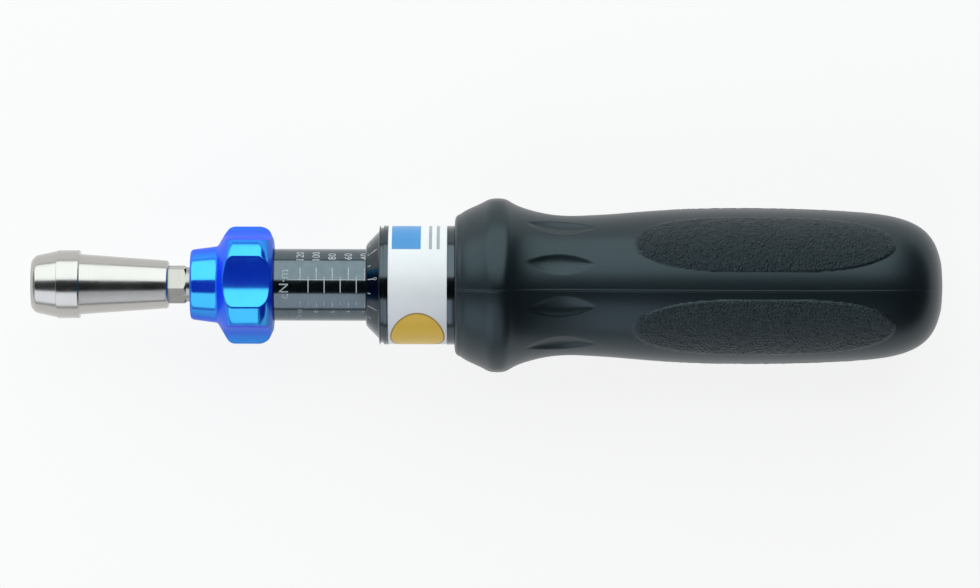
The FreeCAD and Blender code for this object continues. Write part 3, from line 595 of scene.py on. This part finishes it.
def add_oval(made, centre, half_sizes, inner, outer, lift):
    """Add an oval spot or ring on the label; inner and outer are shares of its half sizes."""
    x, turn = centre
    rings = []
    for part in range(9):
        share = inner + (outer - inner) * part / 8
        ring = []
        for step in range(72):
            around = math.tau * step / 72
            at = x + half_sizes[0] * share * math.cos(around)
            angle = math.radians(turn) + half_sizes[1] * share * math.sin(around) / label_radius(at)
            out = (label_radius(at) + lift) * MM
            ring.append(made.verts.new((at * MM, out * math.sin(angle), out * math.cos(angle))))
        rings.append(ring)
    for first, second in zip(rings, rings[1:]):
        for step in range(72):
            after = (step + 1) % 72
            made.faces.new((first[step], first[after], second[after], second[step]))
    if inner < 0.01:
        bmesh.ops.contextual_create(made, geom=rings[0])


SPOT_CENTRE = (71.0, -61)
SPOT_HALF = (5.0, 6.3)
spot = bmesh.new()
add_oval(spot, SPOT_CENTRE, SPOT_HALF, 0.001, 0.96, MARK_LIFT)
finish_piece("label_yellow_spot", spot, "housing", yellow_ink)
edge = bmesh.new()
add_oval(edge, SPOT_CENTRE, SPOT_HALF, 0.95, 1.0, 2 * MARK_LIFT)
finish_piece("label_spot_edge", edge, "housing", amber_ink)


# ---------------------------------------------------------------------------------------------
# Handle: moulded in two mould halves from black conductive plastic, pushed over the housing tube.
# It has five low ridges, a crest with a lens-shaped land over each panel, a flute beside each ridge,
# a long patch of leathery grain on each panel, and a thin witness line where the mould parted.
# ---------------------------------------------------------------------------------------------
def spline_through(points, count):
    """Natural cubic spline through points, as that many points evenly spread along their chords."""
    points = np.array(points, float)
    knots = np.concatenate([[0], np.cumsum(np.hypot(*np.diff(points, axis=0).T))])
    gaps = np.diff(knots)
    size = len(points)
    matrix = np.zeros((size, size))
    right = np.zeros((size, 2))
    matrix[0, 0] = matrix[-1, -1] = 1
    for at in range(1, size - 1):
        matrix[at, at - 1:at + 2] = gaps[at - 1], 2 * (gaps[at - 1] + gaps[at]), gaps[at]
        slope_after = (points[at + 1] - points[at]) / gaps[at]
        slope_before = (points[at] - points[at - 1]) / gaps[at - 1]
        right[at] = 6 * (slope_after - slope_before)
    bends = np.linalg.solve(matrix, right)
    result = []
    for spot in np.linspace(0, knots[-1], count):
        at = min(int(np.searchsorted(knots, spot, side="right")) - 1, size - 2)
        before, after, gap = spot - knots[at], knots[at + 1] - spot, gaps[at]
        result.append(
            (bends[at] * after ** 3 + bends[at + 1] * before ** 3) / (6 * gap)
            + (points[at] / gap - bends[at] * gap / 6) * after
            + (points[at + 1] / gap - bends[at + 1] * gap / 6) * before)
    return result


HANDLE_FRONT = 76.95
HANDLE_LENGTH = 90.45
stations = [
    (0, 11.05), (1.8, 13.05), (6.2, 15.36), (8.7, 16.38), (11.3, 15.22), (14.3, 14.0), (23.5, 12.92),
    (36, 13.7), (47.5, 14.26), (60.5, 14.26), (75, 13.65), (82, 12.7), (87.5, 10.0), (89.15, 7.7),
    (90.12, 4.8)]
LIP_AT = 0.8
lip = [(LIP_AT, 11.0), (0.82, 11.5), (0.9, 12.1), (1.05, 12.55), (1.3, 12.85), (1.6, 13.0)]
profile = lip + [(at, radius) for at, radius in spline_through(stations, 1200) if at > 1.8]

PANELS = 5
PANEL_ANGLE = math.tau / PANELS
FACET_RADIUS = 19.0
FACET_MIDDLE = 15.85
FLUTE_AT = 20.2
FLUTE_TURN = math.radians(17.5)
FLUTE_HALF = (6.3, 1.9)
FLUTE_DEPTH = 0.62
PATCH_AT = 57.3
PATCH_HALF = (23.9, math.radians(26))
GRAIN_SIZE = 0.7
GRAIN_HEIGHT = 0.09
PARTING_TURN = math.radians(-4)
PARTING_HEIGHT = 0.05
PARTING_HALF = 0.22
FACET_EDGE = 0.5
PATCH_SLOPE = 0.12


def patch_share(at, off_panel):
    """1 inside a panel's grained patch and 0 outside it, with a short slope between."""
    reach = (abs(at - PATCH_AT) / PATCH_HALF[0]) ** 3 + (abs(off_panel) / PATCH_HALF[1]) ** 2.2
    return min(1, max(0, (1 - reach) / PATCH_SLOPE))


def handle_point(at, radius, angle):
    """Radius of the handle's surface at a distance from its lip, and how grained it is there."""
    off_ridge = (angle + PANEL_ANGLE / 2) % PANEL_ANGLE - PANEL_ANGLE / 2
    off_panel = angle % PANEL_ANGLE - PANEL_ANGLE / 2
    shift = FACET_RADIUS - FACET_MIDDLE
    reach = math.sqrt(FACET_RADIUS ** 2 - (shift * math.sin(off_panel)) ** 2)
    facet = -shift * math.cos(off_panel) + reach
    out = smooth_least(radius, facet, FACET_EDGE)
    along = 1 - ((at - FLUTE_AT) / FLUTE_HALF[0]) ** 2
    across = radius * (abs(off_ridge) - FLUTE_TURN) / FLUTE_HALF[1]
    if along > 0 and abs(across) < along:
        out -= FLUTE_DEPTH * along * (1 - (across / along) ** 2)
    grained = patch_share(at, off_panel)
    if grained > 0:
        spot = Vector((at, out * math.sin(angle), out * math.cos(angle))) / GRAIN_SIZE
        out += grained * GRAIN_HEIGHT * noise.noise(spot)
    off_parting = (angle - PARTING_TURN + math.pi / 2) % math.pi - math.pi / 2
    bead = 1 - abs(out * off_parting) / PARTING_HALF
    if bead > 0:
        out += PARTING_HEIGHT * min(1, 1.6 * bead)
    return out, grained


def chosen_rows():
    """Rows of the profile: close together at the crest and the tail, wider along the grip."""
    rows = []
    last = None
    for at, radius in profile:
        fine = 0.1 if at < 1.8 else 0.18 if 5 < at < 13 else 0.32 if at < 30 or at > 80 else 0.46
        if last is None or math.hypot(at - last[0], radius - last[1]) > fine:
            last = (at, radius)
            rows.append(last)
    return rows


parting_angles = [PARTING_TURN + half * math.pi + off / 14 for half in (0, 1)
                  for off in (-0.3, -0.2, -0.1, 0, 0.1, 0.2, 0.3)]
handle_angles = sorted(
    [a for a in every(1.0)
     if all(abs((a - b + math.pi) % math.tau - math.pi) > math.radians(0.5) for b in parting_angles)]
    + [a % math.tau for a in parting_angles])
rows = chosen_rows()
handle = bmesh.new()
grain_layer = handle.verts.layers.float.new("grained")
rings = []
for at, radius in rows:
    ring = []
    for angle in handle_angles:
        out, grained = handle_point(at, radius, angle)
        vertex = handle.verts.new(
            ((HANDLE_FRONT + at) * MM, out * math.sin(angle) * MM, out * math.cos(angle) * MM))
        vertex[grain_layer] = grained
        ring.append(vertex)
    rings.append(ring)
# The domed end closes to a point, and the bore runs back from the lip
for at, radius in ((90.2, 4.0), (90.3, 3.0), (90.38, 2.0), (90.43, 1.0)):
    rings.append([handle.verts.new(
        ((HANDLE_FRONT + at) * MM, radius * math.sin(a) * MM, radius * math.cos(a) * MM))
        for a in handle_angles])
BORE_RADIUS = 9.62
BORE_SHOULDER = 62.71
PLUG_BORE_RADIUS = 8.0
BORE_END = 81.45
bore = [
    (LIP_AT, 10.9), (LIP_AT, 9.75), (LIP_AT + 0.1, BORE_RADIUS), (BORE_SHOULDER, BORE_RADIUS),
    (BORE_SHOULDER, PLUG_BORE_RADIUS), (BORE_END, PLUG_BORE_RADIUS)]
front_rings = [[handle.verts.new(
    ((HANDLE_FRONT + at) * MM, radius * math.sin(a) * MM, radius * math.cos(a) * MM))
    for a in handle_angles] for at, radius in reversed(bore)]
ends = [handle.verts.new(((HANDLE_FRONT + at) * MM, 0, 0)) for at in (BORE_END, HANDLE_LENGTH)]
rings = [[ends[0]] * len(handle_angles)] + front_rings + rings + [[ends[1]] * len(handle_angles)]
for first, second in zip(rings, rings[1:]):
    for number in range(len(handle_angles)):
        after = (number + 1) % len(handle_angles)
        corners = []
        for vertex in (first[number], first[after], second[after], second[number]):
            if vertex not in corners:
                corners.append(vertex)
        handle.faces.new(corners)

# Black conductive polypropylene: moulded, dark grey-blue, satin where smooth and dull where grained
handle_plastic, tree = new_material("moulded_conductive_plastic")
place = add_node(tree, "ShaderNodeTexCoord")
grained = add_node(tree, "ShaderNodeAttribute", attribute_name="grained")
fine = add_node(tree, "ShaderNodeTexNoise", {
    "Vector": place.outputs["Object"], "Scale": 1 / (0.22 * MM), "Detail": 2.0})
leather = add_node(tree, "ShaderNodeTexNoise", {
    "Vector": place.outputs["Object"], "Scale": 1 / (0.45 * MM), "Detail": 2.0, "Roughness": 0.6})
cloud = add_node(tree, "ShaderNodeTexNoise", {
    "Vector": place.outputs["Object"], "Scale": 1 / (9.0 * MM), "Detail": 4.0})
tone = add_node(tree, "ShaderNodeMix", {
    0: cloud.outputs["Fac"], 6: linear("#0d1317"), 7: linear("#12191e")}, data_type="RGBA")
dull = add_node(tree, "ShaderNodeMapRange", {
    "Value": grained.outputs["Fac"], "To Min": 0.36, "To Max": 0.33})
skin = add_node(tree, "ShaderNodeBump", {
    "Height": fine.outputs["Fac"], "Strength": 0.25, "Distance": 0.015 * MM})
pebble = add_node(tree, "ShaderNodeMath", {
    0: leather.outputs["Fac"], 1: grained.outputs["Fac"]}, operation="MULTIPLY")
grain_bump = add_node(tree, "ShaderNodeBump", {
    "Height": pebble.outputs[0], "Strength": 1.0, "Distance": 0.8 * MM,
    "Normal": skin.outputs[0]})
finish_material(tree, add_node(tree, "ShaderNodeBsdfPrincipled", {
    "Base Color": tone.outputs[2], "Roughness": dull.outputs[0], "Specular IOR Level": 0.62,
    "Specular Tint": linear("#d2f0fa"), "Normal": grain_bump.outputs[0]}))
finish_piece("handle_grip", handle, "housing", handle_plastic, ["handle"])

# ---------------------------------------------------------------------------------------------
# Studio: a plain white table that the handle rests on, a soft lamp on each side, and a dark card
# overhead between them, with another past the handle's end.  The camera looks straight down.
# ---------------------------------------------------------------------------------------------
REST_RADIUS = 15.85
REST_TILT = math.radians(-1.6)
REST_AT = 85.65


def white_where_seen(tree, share):
    """How much of a shader is plain white light: a share for camera, glossy and see-through rays only."""
    rays = add_node(tree, "ShaderNodeLightPath")
    first = add_node(tree, "ShaderNodeMath", {
        0: rays.outputs["Is Camera Ray"], 1: rays.outputs["Is Glossy Ray"]}, operation="MAXIMUM")
    seen = add_node(tree, "ShaderNodeMath", {
        0: first.outputs[0], 1: rays.outputs["Is Transmission Ray"]}, operation="MAXIMUM")
    amount = add_node(tree, "ShaderNodeMath", {0: seen.outputs[0], 1: share}, operation="MULTIPLY")
    return amount.outputs[0]


table_paint, tree = new_material("white_table_paint")
place = add_node(tree, "ShaderNodeTexCoord")
cloud = add_node(tree, "ShaderNodeTexNoise", {"Vector": place.outputs["Object"], "Scale": 20.0})
tone = add_node(tree, "ShaderNodeMix", {
    0: cloud.outputs["Fac"], 6: linear("#f3f3f3"), 7: linear("#f5f5f5")}, data_type="RGBA")
paint = add_node(tree, "ShaderNodeBsdfDiffuse", {"Color": tone.outputs[2]})
glow = add_node(tree, "ShaderNodeEmission", {"Color": [1, 1, 1, 1], "Strength": 1.0})
finish_material(tree, add_node(tree, "ShaderNodeMixShader", {
    0: white_where_seen(tree, 0.85), 1: paint.outputs[0], 2: glow.outputs[0]}))


def add_sheet(name, size, location, tilt, material):
    """A flat rectangle of the studio, in metres, tilted about an axis."""
    made = bmesh.new()
    bmesh.ops.create_grid(made, x_segments=2, y_segments=2, size=0.5)
    mesh = bpy.data.meshes.new(name)
    made.to_mesh(mesh)
    made.free()
    mesh.materials.append(material)
    sheet = bpy.data.objects.new(name, mesh)
    sheet.location = location
    sheet.rotation_euler = tilt
    sheet.scale = (size[0], size[1], 1)
    bpy.context.scene.collection.objects.link(sheet)
    return sheet


add_sheet("table", (12, 12), (REST_AT * MM, 0, -REST_RADIUS * MM), (0, REST_TILT, 0), table_paint)

card_black, tree = new_material("black_card")
place = add_node(tree, "ShaderNodeTexCoord")
cloud = add_node(tree, "ShaderNodeTexNoise", {"Vector": place.outputs["Object"], "Scale": 5.0})
tone = add_node(tree, "ShaderNodeMix", {
    0: cloud.outputs["Fac"], 6: linear("#2a2d2e"), 7: linear("#303334")}, data_type="RGBA")
finish_material(tree, add_node(tree, "ShaderNodeBsdfDiffuse", {"Color": tone.outputs[2]}))

STUDIO_REACH = 0.6
TOOL_MIDDLE = 0.084


def between(first, last):
    """Middle angle, distance and width of a flat panel that spans two angles from overhead."""
    middle = math.radians(first + last) / 2
    half = math.radians(last - first) / 2
    return middle, STUDIO_REACH * math.cos(half), 2 * STUDIO_REACH * math.sin(half)


middle, distance, width = between(-28, 15)
card = add_sheet("overhead_card", (1.6, width),
                 (TOOL_MIDDLE, distance * math.sin(middle), distance * math.cos(middle)),
                 (-middle, 0, 0), card_black)
end_card = add_sheet("end_card", (0.7, 1.6), (0.5, 0, 0.36), (0, math.radians(-90), 0), card_black)
for sheet in (card, end_card):
    sheet.visible_camera = False
    sheet.visible_shadow = False

for name, first, last, start, stop, brightness, colour in (
        ("upper_softbox", 15, 84, -0.72, 0.42, 1.7, "#f7ffff"),
        ("lower_softbox", -80, -28, -0.72, 0.1, 1.25, "#eef4ff")):
    middle, distance, width = between(first, last)
    lamp = bpy.data.lights.new(name, "AREA")
    lamp.shape = "RECTANGLE"
    lamp.size = stop - start
    lamp.size_y = width
    lamp.color = linear(colour)[:3]
    lamp.energy = brightness * math.pi * lamp.size * lamp.size_y
    stand = bpy.data.objects.new(name, lamp)
    stand.location = ((start + stop) / 2, distance * math.sin(middle), distance * math.cos(middle))
    stand.rotation_euler = (-middle, 0, 0)
    stand.visible_camera = False
    bpy.context.scene.collection.objects.link(stand)

world = bpy.data.worlds.new("studio_room")
world.use_nodes = True
tree = world.node_tree
tree.nodes.clear()
room = add_node(tree, "ShaderNodeBackground", {"Color": linear("#f0f2f4"), "Strength": 0.35})
add_node(tree, "ShaderNodeOutputWorld", {"Surface": room.outputs[0]})
bpy.context.scene.world = world

CAMERA_LENS = 200.0
CAMERA_SENSOR = 36.0
VIEW_WIDTH = 180.32
camera_data = bpy.data.cameras.new("camera")
camera_data.lens = CAMERA_LENS
camera_data.sensor_width = CAMERA_SENSOR
camera_data.clip_end = 50
camera = bpy.data.objects.new("camera", camera_data)
camera.location = (84.27 * MM, -1.6 * MM, VIEW_WIDTH * CAMERA_LENS / CAMERA_SENSOR * MM)
camera.rotation_euler = (0, 0, math.radians(0.16))
bpy.context.scene.collection.objects.link(camera)
bpy.context.scene.camera = camera
bpy.context.scene.view_settings.view_transform = "Standard"
